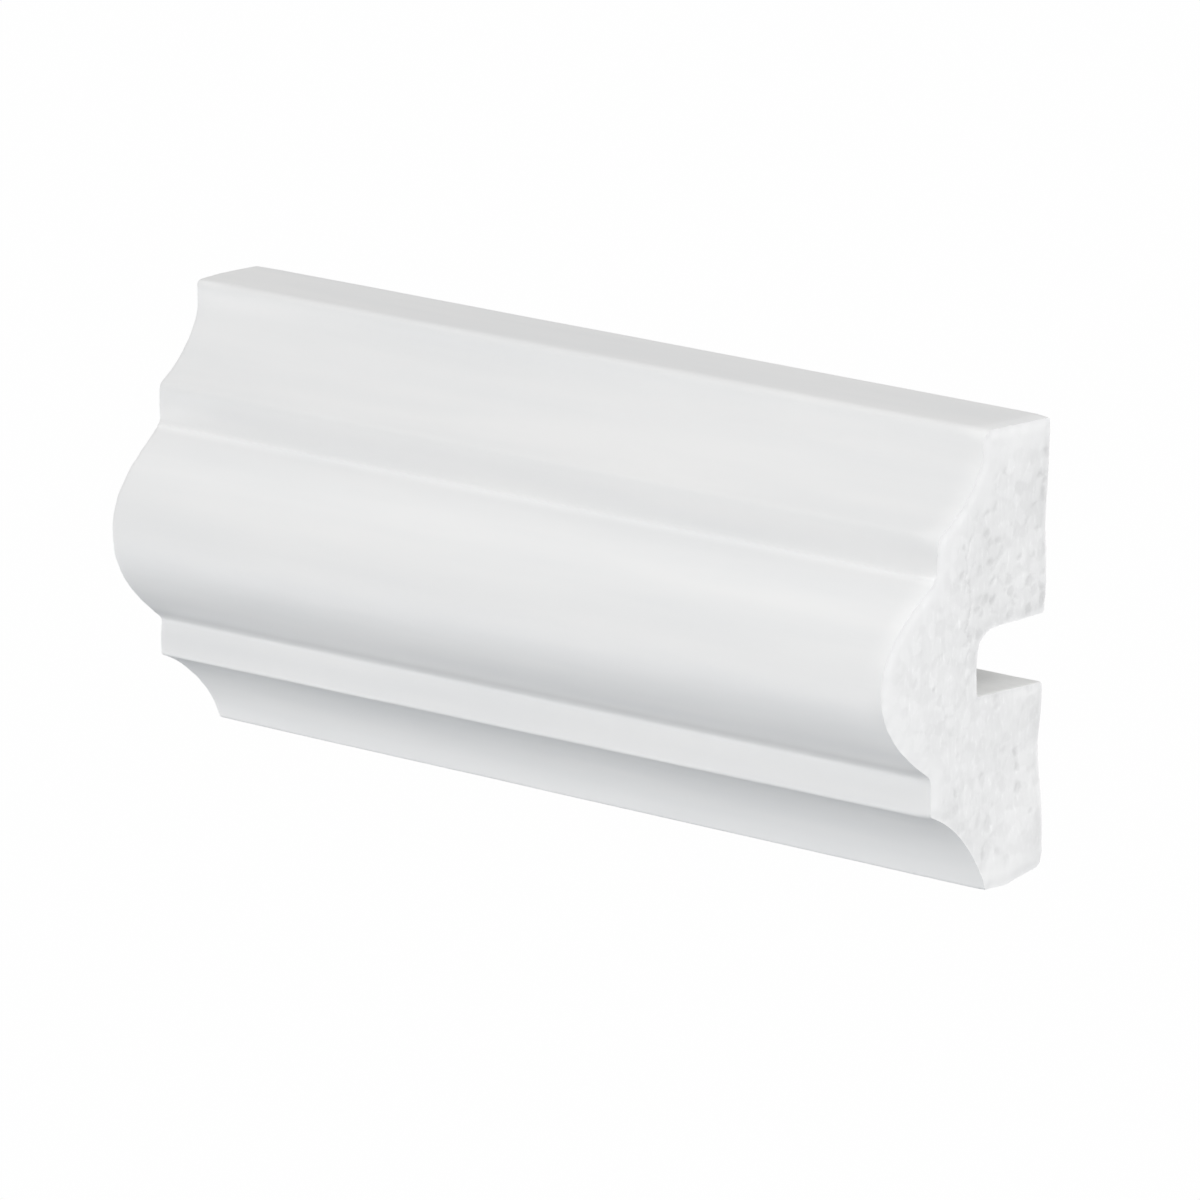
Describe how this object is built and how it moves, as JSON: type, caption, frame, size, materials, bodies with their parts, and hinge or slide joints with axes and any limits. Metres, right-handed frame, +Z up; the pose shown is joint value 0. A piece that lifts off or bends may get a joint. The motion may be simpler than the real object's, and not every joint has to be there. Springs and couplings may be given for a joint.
{
  "type": "chair rail moulding",
  "caption": "Short length of foam chair rail moulding with coves, fillets and a torus on the front and a cable channel along the back.",
  "frame": {"origin": "on the back, in the middle of the upper flat land that is glued to the wall, at half the length", "axes": "+X along the rail, +Y out of the flat back towards the wall, +Z up; the moulded front faces -Y"},
  "size_m": [0.137, 0.0303, 0.0606],
  "materials": {
    "white_foam": "white foamed polymer: smooth satin skin on the moulded front and top, fine granular foam where it is cut"
  },
  "bodies": {
    "root": {"chair_rail_moulding": "white_foam"}
  },
  "joints": []
}
